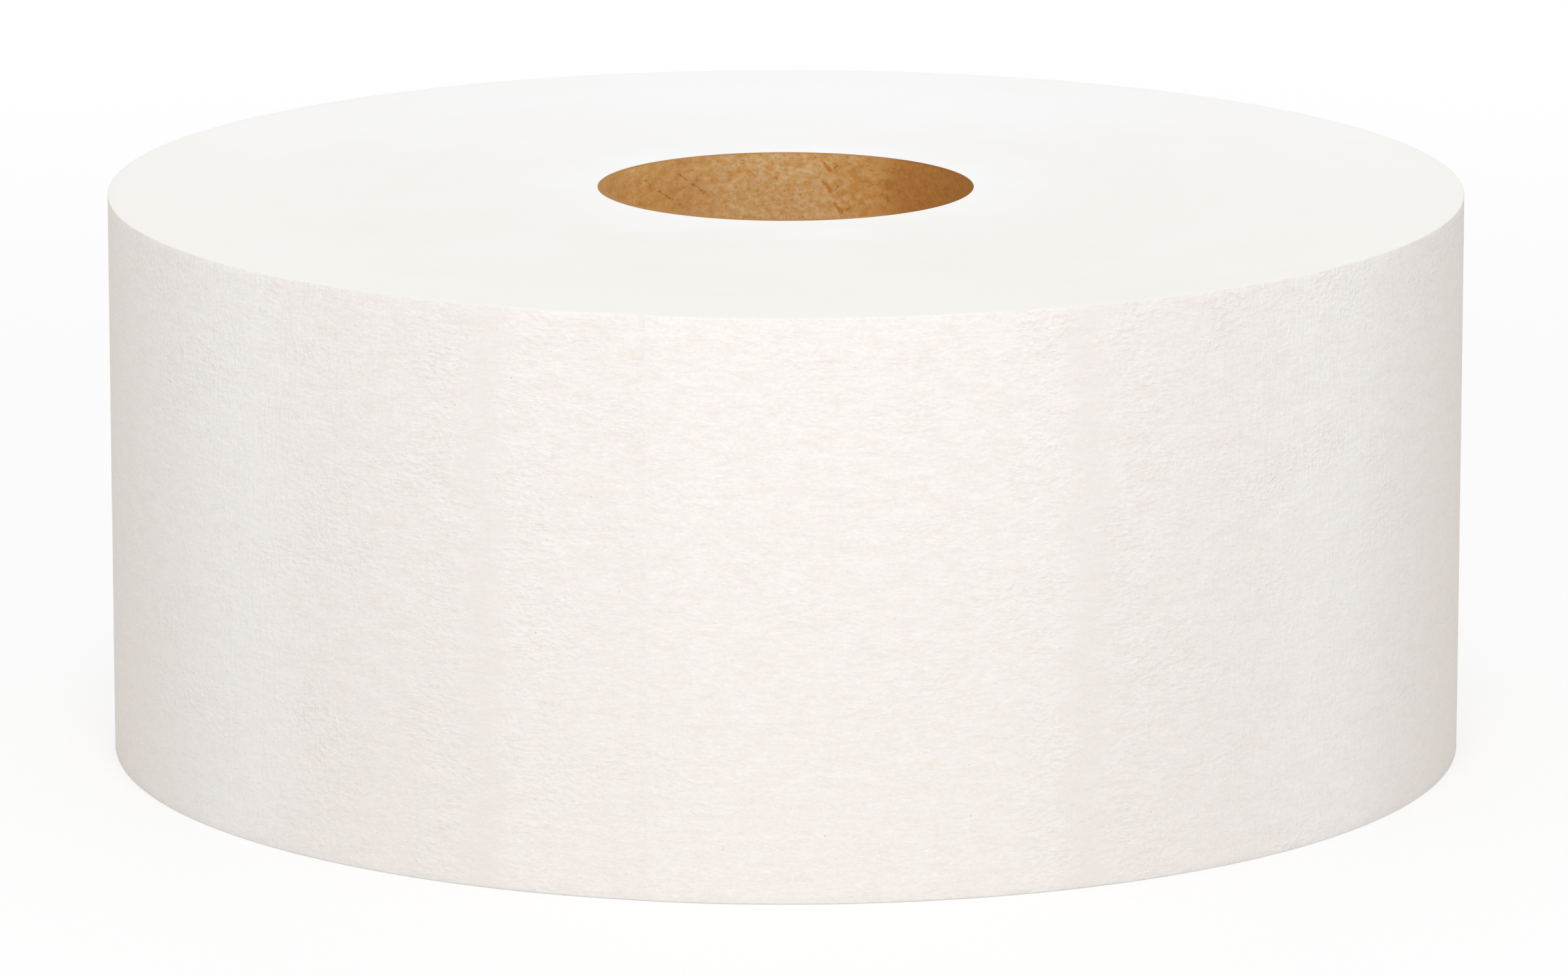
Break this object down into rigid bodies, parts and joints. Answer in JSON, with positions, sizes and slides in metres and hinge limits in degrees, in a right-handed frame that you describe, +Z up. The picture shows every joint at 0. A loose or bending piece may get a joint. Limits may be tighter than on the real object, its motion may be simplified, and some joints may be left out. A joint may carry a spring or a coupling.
{
  "type": "toilet paper roll",
  "caption": "Wide, flat roll of white toilet tissue wound on a brown board core, standing on its end.",
  "frame": {"origin": "centre of the end that the roll stands on, on the axis of the core", "axes": "+Z up along the axis of the core; -Y is the pictured side, with the free edge of the outer turn 11 degrees round towards -X"},
  "size_m": [0.2398, 0.2399, 0.1],
  "materials": {
    "tissue": "soft creped tissue, matt",
    "core_board": "uncoated brown board, matt"
  },
  "bodies": {
    "root": {"tissue_roll": "tissue", "core_tube": "core_board"}
  },
  "joints": []
}
